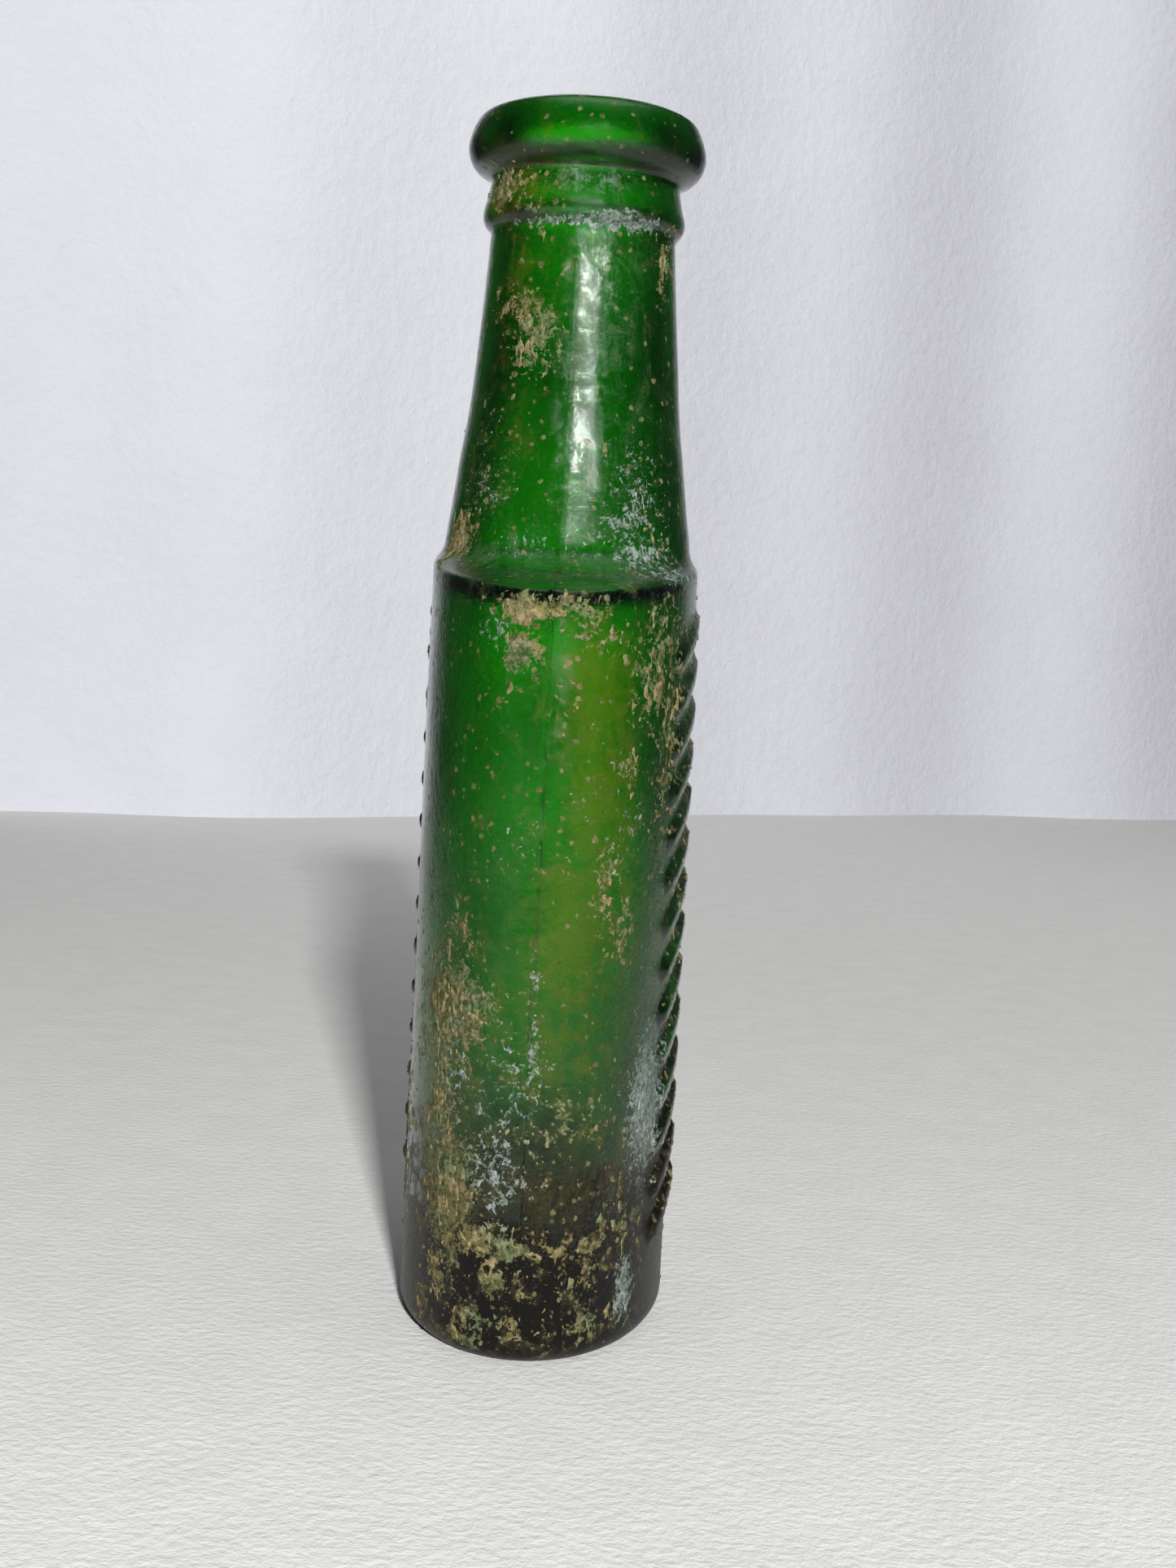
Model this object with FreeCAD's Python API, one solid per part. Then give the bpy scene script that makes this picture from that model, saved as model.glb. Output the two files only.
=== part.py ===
"""Small oval glass soda bottle with a crown finish, a relief column on each wide face and burial deposits.

Millimetres. +Z is up, the origin is the middle of the standing base, +Y runs along the wide direction
of the oval and +X through its thickness, so the wide faces look along +X and -X and the mould seams
lie on +Y and -Y.
"""
import FreeCAD
import Part
import math
import os

V = FreeCAD.Vector

# Blown body.
HEIGHT = 133.6
HALF_THICK = 14.9
HALF_WIDTH = 25.3
WALL = 2.6
BASE_THICK = 5.0
FLOOR_R = 4.0
HEEL_R = 2.4
PUSH_UP = 2.2
PUSH_UP_ROUND = 1.9
BEARING_WIDTH = 3.4
SHOULDER_Z = 80.4
SHOULDER_EDGE_R = 1.0
SHOULDER_RISE = math.tan(math.radians(16.0))
SLOPE_END_R = 1.5 * HALF_WIDTH  # the turned slope is drawn past the oval wall that cuts it

# Neck: (height, outer radius) from the finish down to where it leaves the shoulder.
NECK = [(120.4, 10.4), (111.0, 11.0), (101.0, 11.9), (95.5, 12.65), (88.2, 13.6), (84.6, 14.42)]
NECK_FOOT_R = 17.4

# Hollow of the neck: a straight bore, then (height, radius) points of the throat down to its ceiling.
BORE_R = 8.0
STRAIGHT_BORE_Z = 112.0
THROAT = [(107.0, 8.15), (101.0, 9.1), (95.5, 9.85), (88.2, 10.8), (84.0, 11.5), (81.3, 14.0)]

# Crown finish, laid on round the top of the neck tube.
NECK_TUBE_R = 10.0
LIP_R = 13.3
LIP_TOP_R = 10.6
LIP_BOTTOM_Z = 126.2
WAIST_R = 10.75
WAIST_LOW_Z = 125.4
COLLAR_R = 11.4
COLLAR_BOTTOM_Z = 120.4
RIM_ROUND = 1.2
LIP_CURVE = [(WAIST_R, LIP_BOTTOM_Z), (12.35, 127.2), (13.15, 128.5), (LIP_R, 129.9), (12.8, 131.6),
             (12.0, 132.9), (LIP_TOP_R, HEIGHT)]
COLLAR_CURVE = [(NECK[0][1], COLLAR_BOTTOM_Z), (11.2, 121.3), (COLLAR_R, 122.4), (11.05, 123.9),
                (WAIST_R, WAIST_LOW_Z)]

# Mould seam, a low ridge up each narrow side.
SEAM_WIDTH = 0.45
SEAM_HEIGHT = 0.2
SEAM_TOP_Z = 118.0

# Relief column: slanted strokes with round ends, like one strand of a laid rope. It is set to one side of
# the wide face, and the other face has the same column turned half round the bottle.
RELIEF_HEIGHT = 0.75
RELIEF_COUNT = 14
RELIEF_FIRST_Z = 13.6
RELIEF_PITCH = 4.8
RELIEF_OFFSET = -6.0
STROKE_LENGTH = 13.4
STROKE_WIDTH = 2.9
STROKE_TILT_DEG = 24.0

# Deposits left from burial: thin crusts that follow the glass, and dried silt on the floor inside.
CRUST = 0.25
SILT_DEPTH = 2.4

# Outline of a patch: points round it, and how many lobes it has and how far they swell, large and small.
PATCH_POINTS = 9
LOBES = 3
LOBE_SWELL = 0.22
SMALL_LOBES = 5
SMALL_LOBE_SWELL = 0.12

# Soil patches: direction round the bottle in degrees (0 is -Y, 90 is +X), height, half width, half height.
SOIL_PATCHES = [
    (-24, 27.0, 3.2, 4.4), (-20, 16.5, 3.0, 3.2), (26, 74.0, 2.2, 3.6), (-2, 78.0, 2.4, 1.4),
    (-14, 106.0, 1.5, 2.6), (24, 60.0, 1.6, 3.0), (4, 7.0, 3.6, 2.2), (160, 30.0, 4.0, 5.0),
    (195, 64.0, 2.6, 4.0), (176, 12.0, 4.4, 3.0),
]
SOIL_SEED = 0.4
# Lime patches, in the same form.
LIME_PATCHES = [
    (30, 27.5, 1.6, 4.0), (28, 8.5, 1.2, 2.4), (-8, 27.0, 2.0, 3.0), (22, 92.0, 1.2, 3.4),
    (204, 40.0, 2.2, 4.2), (168, 96.0, 1.4, 3.0),
]
LIME_SEED = 2.1

SCRAP = 0.02  # mm3: smaller leftovers of a cut are dropped
FAR = 200.0  # longer than any part of the bottle
OVERRUN = 0.5  # how far a cut runs past the face that it opens
NEAR_ZERO = 0.01
OVAL_TOLERANCE = 0.002  # how near to the oval, as a share of its size, an edge on it comes out


def oval_prism(half_x, half_y, bottom, top):
    """Upright prism on an ellipse that is longest along Y."""
    ellipse = Part.Ellipse(V(0, half_y, bottom), V(-half_x, 0, bottom), V(0, 0, bottom))
    face = Part.Face(Part.Wire([ellipse.toShape()]))
    return face.extrude(V(0, 0, top - bottom))


def turned(edges):
    """Solid of revolution about Z from edges that close a profile in XZ."""
    wire = Part.Wire(Part.__sortEdges__(edges))
    return Part.Face(wire).revolve(V(0, 0, 0), V(0, 0, 1), 360)


def straight(*points):
    """Edges that join (radius, height) points of a turned profile in order."""
    corners = [V(r, 0, z) for r, z in points]
    return [Part.LineSegment(a, b).toShape() for a, b in zip(corners, corners[1:])]


def spline(points):
    """Smooth edge through (radius, height) points of a turned profile."""
    curve = Part.BSplineCurve()
    curve.interpolate([V(r, 0, z) for r, z in points])
    return curve.toShape()


def slope_z(at_edge, r):
    """Height of the shoulder's slope at radius r, where at_edge is its height at the narrow sides."""
    return at_edge + (HALF_WIDTH - r) * SHOULDER_RISE


def neck_and_shoulder(grow):
    """Turned envelope of the neck and the shoulder's slope, moved outwards by grow."""
    at_edge = SHOULDER_Z + grow * math.hypot(1.0, SHOULDER_RISE)
    foot_r = NECK_FOOT_R + grow
    neck = [(r + grow, z) for z, r in NECK]
    curve = spline(neck + [(foot_r, slope_z(at_edge, foot_r))])
    top_r, top_z = neck[0]
    return turned([curve] + straight(
        (foot_r, slope_z(at_edge, foot_r)), (SLOPE_END_R, slope_z(at_edge, SLOPE_END_R)),
        (SLOPE_END_R, -FAR), (0, -FAR), (0, HEIGHT), (NECK_TUBE_R, HEIGHT), (NECK_TUBE_R, top_z),
        (top_r, top_z)))


def is_shoulder_edge(edge, grow):
    """True for an edge where the oval wall meets the shoulder's slope, and not for the wall's own seam."""
    middle = edge.valueAt((edge.FirstParameter + edge.LastParameter) / 2)
    reach = math.hypot(middle.x / (HALF_THICK + grow), middle.y / (HALF_WIDTH + grow))
    upright = edge.BoundBox.ZLength > 2 * HEEL_R
    on_oval = abs(reach - 1.0) < OVAL_TOLERANCE
    return on_oval and middle.z > SHOULDER_Z - HEEL_R and not upright


def outer_body(grow=0.0):
    """Outside of the blown glass as one solid, moved outwards by grow for the deposits and seams."""
    oval = oval_prism(HALF_THICK + grow, HALF_WIDTH + grow, 0.0, FAR)
    foot = [e for e in oval.Edges if e.BoundBox.ZMax < NEAR_ZERO]
    oval = oval.makeFillet(HEEL_R + grow, foot)
    body = oval.common(neck_and_shoulder(grow))
    rim = [e for e in body.Edges if is_shoulder_edge(e, grow)]
    return body.makeFillet(SHOULDER_EDGE_R, rim)


def cavity():
    """The hollow of the bottle: oval room, sloping ceiling, narrowing throat and straight bore."""
    room = oval_prism(HALF_THICK - WALL, HALF_WIDTH - WALL, BASE_THICK, FAR)
    floor = [e for e in room.Edges if e.BoundBox.ZMax < BASE_THICK + NEAR_ZERO]
    room = room.makeFillet(FLOOR_R, floor)
    throat = [(BORE_R, STRAIGHT_BORE_Z)] + [(r, z) for z, r in THROAT]
    foot_r, foot_z = throat[-1]
    end_z = foot_z - (SLOPE_END_R - foot_r) * SHOULDER_RISE
    ceiling = turned([spline(throat)] + straight(
        throat[-1], (SLOPE_END_R, end_z), (SLOPE_END_R, -FAR), (0, -FAR), (0, STRAIGHT_BORE_Z), throat[0]))
    bore = Part.makeCylinder(BORE_R, HEIGHT + OVERRUN - STRAIGHT_BORE_Z, V(0, 0, STRAIGHT_BORE_Z))
    return room.common(ceiling).fuse(bore).removeSplitter()


def push_up():
    """Shallow dome cut up into the base, inside the bearing ring."""
    inset = HEEL_R + BEARING_WIDTH
    hollow = oval_prism(HALF_THICK - inset, HALF_WIDTH - inset, -OVERRUN, PUSH_UP)
    roof = [e for e in hollow.Edges if e.BoundBox.ZMin > PUSH_UP - NEAR_ZERO]
    return hollow.makeFillet(PUSH_UP_ROUND, roof)


def seams():
    """Low ridges up both narrow sides, where the two halves of the mould met."""
    slab = Part.makeBox(SEAM_WIDTH, 4 * HALF_WIDTH, SEAM_TOP_Z - HEEL_R,
                        V(-SEAM_WIDTH / 2, -2 * HALF_WIDTH, HEEL_R))
    return outer_body(SEAM_HEIGHT).common(slab)


def glass_body(blank, hollow):
    """The blown bottle up to the rim, cut from its solid blank."""
    body = blank.cut(hollow).cut(push_up())
    rim = [e for e in body.Edges
           if e.BoundBox.ZMin > HEIGHT - NEAR_ZERO and e.BoundBox.XLength < 2 * BORE_R + NEAR_ZERO]
    return body.makeFillet(RIM_ROUND, rim)


def lip_ring():
    """The crown's round locking ring, laid round the top of the neck tube."""
    return turned([spline(LIP_CURVE)] + straight(
        LIP_CURVE[-1], (NECK_TUBE_R, HEIGHT), (NECK_TUBE_R, LIP_BOTTOM_Z), LIP_CURVE[0]))


def collar_ring():
    """The lower ring of the finish, with the waist above it that the crown cap's skirt clears."""
    return turned([spline(COLLAR_CURVE)] + straight(
        COLLAR_CURVE[-1], (WAIST_R, LIP_BOTTOM_Z), (NECK_TUBE_R, LIP_BOTTOM_Z),
        (NECK_TUBE_R, COLLAR_BOTTOM_Z), COLLAR_CURVE[0]))


def stroke_bar(z):
    """Bar along +X with the outline of one slanted stroke on the +X face."""
    half = STROKE_WIDTH / 2
    run = STROKE_LENGTH / 2 - half
    a, b, c, d = V(0, -run, -half), V(0, run, -half), V(0, run, half), V(0, -run, half)
    wire = Part.Wire([
        Part.LineSegment(a, b).toShape(), Part.Arc(b, V(0, run + half, 0), c).toShape(),
        Part.LineSegment(c, d).toShape(), Part.Arc(d, V(0, -run - half, 0), a).toShape()])
    bar = Part.Face(wire).extrude(V(2 * HALF_THICK, 0, 0))
    bar.rotate(V(0, 0, 0), V(1, 0, 0), STROKE_TILT_DEG)
    bar.translate(V(0, RELIEF_OFFSET, z))
    return bar


def relief(turn):
    """All strokes of one wide face, each a separate solid that stands on the wall; turn is 0 or 180."""
    raised = oval_prism(HALF_THICK + RELIEF_HEIGHT, HALF_WIDTH + RELIEF_HEIGHT, 0.0, SHOULDER_Z)
    skin = raised.cut(oval_prism(HALF_THICK, HALF_WIDTH, -OVERRUN, HEIGHT))
    strokes = [stroke_bar(RELIEF_FIRST_Z + i * RELIEF_PITCH).common(skin) for i in range(RELIEF_COUNT)]
    column = Part.makeCompound([solid for s in strokes for solid in s.Solids])
    column.rotate(V(0, 0, 0), V(0, 0, 1), turn)
    return column


def blob(half_w, half_h, seed):
    """Uneven rounded face in the XZ plane."""
    points = []
    for i in range(PATCH_POINTS):
        turn = 2 * math.pi * i / PATCH_POINTS
        swell = (1.0 + LOBE_SWELL * math.sin(LOBES * turn + seed)
                 + SMALL_LOBE_SWELL * math.sin(SMALL_LOBES * turn + 2 * seed))
        points.append(V(half_w * swell * math.cos(turn), 0, half_h * swell * math.sin(turn)))
    curve = Part.BSplineCurve()
    curve.interpolate(points, PeriodicFlag=True)
    return Part.Face(Part.Wire([curve.toShape()]))


def deposit(patches, grown, blank, seed):
    """Thin crusts between the blank and the same outside moved outwards, one for each patch."""
    pieces = []
    for i, (turn, z, half_w, half_h) in enumerate(patches):
        prism = blob(half_w, half_h, seed + i).extrude(V(0, -2 * HALF_WIDTH, 0))
        prism.translate(V(0, 0, z))
        prism.rotate(V(0, 0, 0), V(0, 0, 1), turn)
        pieces += [s for s in prism.common(grown).cut(blank).Solids if s.Volume > SCRAP]
    return Part.makeCompound(pieces)


def silt(hollow):
    """Dried silt that lies on the floor inside."""
    slab = Part.makeBox(FAR, FAR, BASE_THICK + SILT_DEPTH, V(-FAR / 2, -FAR / 2, 0))
    return hollow.common(slab)


def report(name, shape):
    """Prints what a sub-part measures."""
    solids = shape.Solids
    box = shape.BoundBox
    print(name, "solids", len(solids), "valid", all(s.isValid() for s in solids),
          "volume", round(sum(s.Volume for s in solids), 2),
          "box", [round(v, 2) for v in (box.XMin, box.XMax, box.YMin, box.YMax, box.ZMin, box.ZMax)])


def main():
    """Builds every sub-part and writes each to its own file."""
    os.makedirs("parts", exist_ok=True)
    blank = outer_body().fuse(seams())
    grown = outer_body(CRUST)
    hollow = cavity()
    parts = {
        "glass_body": glass_body(blank, hollow),
        "lip_ring": lip_ring(),
        "collar_ring": collar_ring(),
        "relief_right": relief(0.0),
        "relief_left": relief(180.0),
        "soil_crust": deposit(SOIL_PATCHES, grown, blank, SOIL_SEED),
        "lime_scale": deposit(LIME_PATCHES, grown, blank, LIME_SEED),
        "base_silt": silt(hollow),
    }
    for name, shape in parts.items():
        report(name, shape)
        shape.exportStep("parts/%s.step" % name)
    print("holds about", round(hollow.Volume / 1000.0, 1), "ml to the rim")


main()
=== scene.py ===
import math

import bpy
import numpy as np
from mathutils import Matrix, Vector, noise


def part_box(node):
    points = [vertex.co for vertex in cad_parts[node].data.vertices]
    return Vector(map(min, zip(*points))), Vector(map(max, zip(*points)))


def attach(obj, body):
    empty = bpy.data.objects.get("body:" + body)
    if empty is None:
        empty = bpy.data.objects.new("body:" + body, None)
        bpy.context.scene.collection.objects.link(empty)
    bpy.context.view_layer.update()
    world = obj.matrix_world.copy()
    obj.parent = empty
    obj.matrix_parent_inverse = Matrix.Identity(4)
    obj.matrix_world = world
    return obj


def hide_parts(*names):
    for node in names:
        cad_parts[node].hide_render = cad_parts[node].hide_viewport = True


# Dug-up oval soda bottle of dark green glass with a crown finish. Its two wide faces carry a column of
# slanted relief strokes, and soil, lime and a dark stain from the ground cover much of it.
# Shapes are worked out in millimetres and turned into metres where a mesh is made.
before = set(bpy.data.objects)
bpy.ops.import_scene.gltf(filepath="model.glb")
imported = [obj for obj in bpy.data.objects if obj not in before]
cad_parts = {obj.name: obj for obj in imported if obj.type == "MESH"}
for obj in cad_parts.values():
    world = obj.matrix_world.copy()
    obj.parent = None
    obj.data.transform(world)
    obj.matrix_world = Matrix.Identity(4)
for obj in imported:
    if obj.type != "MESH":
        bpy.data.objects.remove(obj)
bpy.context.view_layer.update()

MM = 0.001
NEAR_ZERO = 1e-9

# ---------------------------------------------------------------- sizes, from the frame and from the design
glass_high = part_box("glass_body")[1]
lip_low, lip_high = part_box("lip_ring")
collar_low, collar_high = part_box("collar_ring")
relief_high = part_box("relief_right")[1]

HEIGHT = glass_high.z / MM
SEAM_HEIGHT = 0.2
HALF_THICK = glass_high.x / MM
HALF_WIDTH = glass_high.y / MM - SEAM_HEIGHT
WALL = 2.6
BASE_THICK = 5.0
HEEL_R = 2.4
PUSH_UP = 2.2
BEARING_WIDTH = 3.4
SHOULDER_Z = 80.4
SHOULDER_SLOPE = math.tan(math.radians(16.0))
SLOPE_END_R = 40.0
OUTER_EDGE_SOFTNESS = 0.8
INNER_EDGE_SOFTNESS = 1.6
FINISH_BOTTOM_Z = collar_low.z / MM
LIP_BOTTOM_Z = lip_low.z / MM
LIP_R = lip_high.x / MM
COLLAR_R = collar_high.x / MM
WAIST_R = 10.75
BORE_R = 8.0
RIM_ROUND = 1.2
FLOOR_R = 4.0
SEAM_HALF_WIDTH = 0.3
SEAM_TOP_Z = 118.0

RELIEF_HEIGHT = relief_high.x / MM - HALF_THICK
RELIEF_COUNT = 14
RELIEF_FIRST_Z = 13.6
RELIEF_PITCH = 4.8
RELIEF_OFFSET = 6.0
STROKE_LENGTH = 13.4
STROKE_WIDTH = 2.9
STROKE_TILT = math.radians(24.0)

# (radius, height) points of the turned outlines, from the top down.
RIM_R = LIP_R - 2.7
FINISH = [(RIM_R, HEIGHT), (LIP_R - 1.3, HEIGHT - 0.7), (LIP_R - 0.5, HEIGHT - 2.0), (LIP_R, HEIGHT - 3.7),
          (LIP_R - 0.15, LIP_BOTTOM_Z + 2.3), (LIP_R - 0.95, LIP_BOTTOM_Z + 1.0), (WAIST_R, LIP_BOTTOM_Z),
          (WAIST_R, LIP_BOTTOM_Z - 0.8), (COLLAR_R - 0.35, FINISH_BOTTOM_Z + 3.5),
          (COLLAR_R, FINISH_BOTTOM_Z + 2.0), (COLLAR_R - 0.2, FINISH_BOTTOM_Z + 0.9), (10.4, FINISH_BOTTOM_Z)]
NECK = [(10.4, FINISH_BOTTOM_Z), (11.0, 111.0), (11.9, 101.0), (12.65, 95.5), (13.6, 88.2), (14.42, 84.6),
        (17.4, SHOULDER_Z + (HALF_WIDTH - 17.4) * SHOULDER_SLOPE)]
BORE = [(BORE_R, HEIGHT - RIM_ROUND), (BORE_R, 118.0), (BORE_R, 112.0), (8.35, 106.0), (9.1, 101.0),
        (9.85, 95.5), (10.8, 88.2), (11.6, 84.2), (14.0, 81.3)]

# ---------------------------------------------------------------- where the ground left its marks
# Every patch is (degrees round from -Y towards +X, height, half width, half height, strength).
# Dried soil.
SOIL = [
    (-57, 86.0, 1.6, 2.2, 1.4), (-36, 111.5, 2.6, 1.2, 0.8), (-22, 108.0, 1.8, 3.2, 1.0),
    (-50, 124.5, 3.0, 1.8, 1.0), (-26, 121.0, 1.2, 2.2, 0.7), (-6, 78.3, 1.8, 1.0, 1.5),
    (2, 78.8, 4.0, 0.9, 0.9), (-6.5, 74.3, 1.5, 1.7, 1.1), (-9, 70.5, 0.8, 2.6, 0.6),
    (14, 76.0, 3.6, 2.2, 0.55), (34, 75.5, 2.0, 4.6, 0.8), (31, 71.0, 2.6, 3.2, 0.75),
    (44, 66.0, 2.6, 9.0, 0.65), (24, 62.0, 1.4, 3.0, 0.5), (17, 49.5, 0.9, 3.4, 0.8),
    (24, 45.5, 0.8, 2.0, 0.8), (4, 69.0, 1.0, 2.0, 0.5), (-21, 44.5, 1.4, 1.6, 0.8),
    (-26, 36.0, 3.4, 4.2, 1.0), (-17, 36.5, 1.6, 2.4, 1.1), (-27, 27.5, 1.9, 4.5, 0.95),
    (-21, 17.5, 2.2, 4.2, 1.2), (-30, 20.0, 1.6, 7.0, 0.7), (-7, 12.5, 6.0, 1.4, 0.8),
    (8, 12.0, 6.0, 1.0, 0.6), (-14, 3.5, 1.8, 1.8, 0.8), (5, 24.0, 5.0, 3.0, 0.45),
    (-24, 8.0, 2.0, 2.0, 0.75), (2, 9.0, 8.0, 1.4, 0.5), (20, 4.0, 3.0, 1.4, 0.6),
    (-2, 4.5, 3.0, 1.6, 0.55), (-32, 4.0, 2.0, 2.2, 0.6), (24, 15.0, 2.0, 2.0, 0.55),
    (30, 13.0, 3.0, 2.0, 0.5), (62, 117.0, 1.3, 2.6, 0.9), (46, 88.0, 2.0, 3.5, 0.5),
    (80, 40.0, 5.0, 30.0, 0.35), (118, 60.0, 4.0, 7.0, 0.9), (150, 28.0, 5.0, 8.0, 0.9),
    (190, 66.0, 4.0, 6.0, 0.9), (176, 14.0, 8.0, 3.5, 0.9), (232, 44.0, 5.0, 9.0, 0.8),
    (262, 72.0, 5.0, 5.0, 0.7), (275, 20.0, 6.0, 6.0, 0.9), (200, 106.0, 3.0, 5.0, 0.8),
    (120, 122.0, 3.0, 2.0, 0.8), (250, 95.0, 3.0, 4.0, 0.7), (95, 14.0, 7.0, 4.0, 0.6),
]
# Lime scale, in the same form.
LIME = [
    (34, 90.0, 2.4, 4.6, 0.8), (38, 85.0, 3.2, 1.8, 0.9), (43, 83.0, 4.5, 0.8, 0.9),
    (-40, 91.0, 2.6, 3.4, 0.6), (-16, 85.5, 4.5, 1.2, 0.55), (10, 85.5, 3.6, 1.4, 0.5),
    (41, 26.0, 2.6, 4.6, 1.5), (32, 6.5, 1.1, 2.4, 1.4), (-7, 20.0, 2.4, 4.4, 0.8),
    (-4, 29.0, 3.2, 6.0, 0.6), (-20, 32.0, 3.0, 7.0, 0.6), (8, 120.3, 7.0, 0.5, 1.0),
    (24, 120.6, 4.0, 0.7, 1.2), (-14, 76.0, 1.4, 1.4, 0.8), (0.5, 32.0, 0.5, 9.0, 0.7),
    (-44, 98.0, 2.4, 4.0, 0.4), (20, 58.0, 5.0, 8.0, 0.35), (-8, 54.0, 5.0, 4.0, 0.3),
    (140, 92.0, 3.0, 6.0, 0.7), (205, 40.0, 4.0, 10.0, 0.7), (168, 80.0, 6.0, 2.0, 0.7),
    (110, 30.0, 4.0, 8.0, 0.6), (255, 60.0, 5.0, 9.0, 0.6), (285, 35.0, 3.0, 8.0, 0.6),
]
# The thin film round a crust reaches this much farther than the crust.
FILM_SPREAD = 1.35
# Thin brownish film that the light still comes through, in the same form.
FILM = [
    (12, 70.0, 3.4, 6.0, 1.1), (14, 60.0, 3.2, 9.0, 1.1), (36, 70.0, 3.0, 6.0, 0.3),
    (9, 46.0, 4.0, 8.0, 1.0), (-22, 30.0, 4.0, 12.0, 0.7), (-2, 18.0, 13.0, 6.0, 0.7),
    (24, 48.0, 3.0, 6.0, 0.6), (4, 34.0, 6.0, 8.0, 0.6), (-34, 112.0, 4.0, 6.0, 0.5),
    (-50, 96.0, 5.0, 10.0, 0.3), (-45, 124.0, 5.0, 3.0, 0.9), (120, 50.0, 9.0, 26.0, 0.7),
    (180, 35.0, 9.0, 20.0, 0.7), (240, 40.0, 9.0, 28.0, 0.7), (180, 105.0, 8.0, 12.0, 0.6),
]
# Patches where the glass lets less light through, strongest at the body's right side and at both sides of the
# neck, in the same form.
GLASS_DARKENING = [
    (50, 52.0, 6.0, 34.0, 1.0), (38, 70.0, 2.5, 8.0, 0.5), (34, 14.0, 8.0, 8.0, 0.8),
    (-24, 16.0, 8.0, 9.0, 0.6), (38, 100.0, 3.0, 16.0, 0.9), (-42, 107.0, 4.5, 18.0, 1.0),
    (-24, 120.0, 4.0, 6.0, 0.4), (95, 50.0, 12.0, 34.0, 0.7), (180, 60.0, 9.0, 50.0, 0.35),
    (265, 50.0, 12.0, 34.0, 0.6),
]
# Patches where the glass has gone dull, and narrow strips down the neck and round the lip's waist where a
# grey-green haze coat is painted in as the highlight and sheen, in the same form.
DULL_AND_SHEEN = [
    (11, 113.0, 1.5, 6.0, 1.4), (7, 101.0, 1.5, 9.0, 1.4), (5, 92.0, 1.3, 5.0, 0.9),
    (20, 104.0, 4.0, 15.0, 0.28), (8, 84.0, 12.0, 3.0, 0.35), (-24, 84.0, 8.0, 2.4, 0.35),
    (4, 124.8, 2.4, 1.2, 1.5), (-2, 55.0, 4.0, 20.0, 0.12), (38, 50.0, 5.0, 26.0, 0.08),
    (-14, 22.0, 6.0, 12.0, 0.25), (36, 20.0, 6.0, 16.0, 0.10), (95, 60.0, 9.0, 26.0, 0.5),
    (180, 95.0, 7.0, 16.0, 0.8), (185, 40.0, 9.0, 26.0, 0.6), (265, 50.0, 9.0, 30.0, 0.5),
]

# ---------------------------------------------------------------- shapes


SPAN_STEPS = 24


def smooth_line(points, steps):
    """Catmull-Rom curve through (radius, height) points, as steps points at equal distances."""
    p = np.array([points[0]] + points + [points[-1]], float)
    fine = []
    for i in range(1, len(p) - 2):
        a, b, c, d = p[i - 1:i + 3]
        t = np.linspace(0.0, 1.0, SPAN_STEPS, endpoint=i == len(p) - 3)[:, None]
        fine.append(0.5 * (2 * b + (c - a) * t + (2 * a - 5 * b + 4 * c - d) * t ** 2
                           + (3 * b - a - 3 * c + d) * t ** 3))
    return even(np.vstack(fine), steps)


def even(line, steps):
    """The same line as steps points at equal distances."""
    along = np.concatenate([[0.0], np.cumsum(np.hypot(*np.diff(line, axis=0).T))])
    at = np.linspace(0.0, along[-1], steps)
    return np.column_stack([np.interp(at, along, line[:, 0]), np.interp(at, along, line[:, 1])])


def corner(before, tip, after, steps):
    """Soft turn from before round tip to after."""
    t = np.linspace(0.0, 1.0, steps)[:, None]
    return (1 - t) ** 2 * before + 2 * t * (1 - t) * tip + t ** 2 * after


def bend(centre, radius, start, end, steps):
    """Arc round centre in a profile, from one angle in degrees to another."""
    a = np.radians(np.linspace(start, end, steps))
    return np.column_stack([centre[0] + radius * np.cos(a), centre[1] + radius * np.sin(a)])


def cut_at(line, reach):
    """The part of a line, given from the axis outwards, that is nearer the axis than reach, with its end."""
    z = np.interp(reach, line[:, 0], line[:, 1])
    return np.vstack([line[line[:, 0] < reach - NEAR_ZERO], [reach, z]])


def slope_line(points, steps):
    """Smooth line through points, carried on down the shoulder's slope past the oval wall."""
    line = smooth_line(points, steps)
    r, z = line[-1]
    return np.vstack([line, [SLOPE_END_R, z - (SLOPE_END_R - r) * SHOULDER_SLOPE]])


NECK_STEPS, BORE_STEPS, FINISH_ROWS = 160, 120, 44
OUTER_SLOPE = slope_line(NECK, NECK_STEPS)
INNER_SLOPE = slope_line(BORE[2:], BORE_STEPS)
FINISH_LINE = smooth_line(FINISH, FINISH_ROWS)[::-1]
# Steps in which the way from the shoulder's edge to the neck is measured.
ROOF_STEPS = 400
# Rows of points in each part of the outline: outside, then inside.
DOME_ROWS, BEARING_ROWS, HEEL_ROWS = 12, 4, 8
OUTER_ROWS = {"wall_rows": 131, "edge_rows": 7, "neck_rows": 56}
RIM_ROWS, BORE_ROWS, TURN_ROWS, FLOOR_ROWS = 6, 8, 5, 6
INNER_ROWS = {"wall_rows": 28, "edge_rows": 6, "neck_rows": 24}


def wall_to_neck(slope, reach, low_z, soft, wall_rows, edge_rows, neck_rows):
    """Upright wall from low_z, round the shoulder's edge and along the slope to the slope's first point."""
    roof = cut_at(slope, reach)
    tip = roof[-1]
    roof = even(roof[::-1], ROOF_STEPS)
    depth = np.hypot(*(roof - tip).T)
    rest = roof[np.argmax(depth > soft):]
    before = np.array([reach, tip[1] - soft])
    wall = np.column_stack([np.full(wall_rows, reach), np.linspace(low_z, before[1], wall_rows)])
    return np.vstack([wall, corner(before, tip, rest[0], edge_rows)[1:], even(rest, neck_rows)[1:]])


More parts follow.
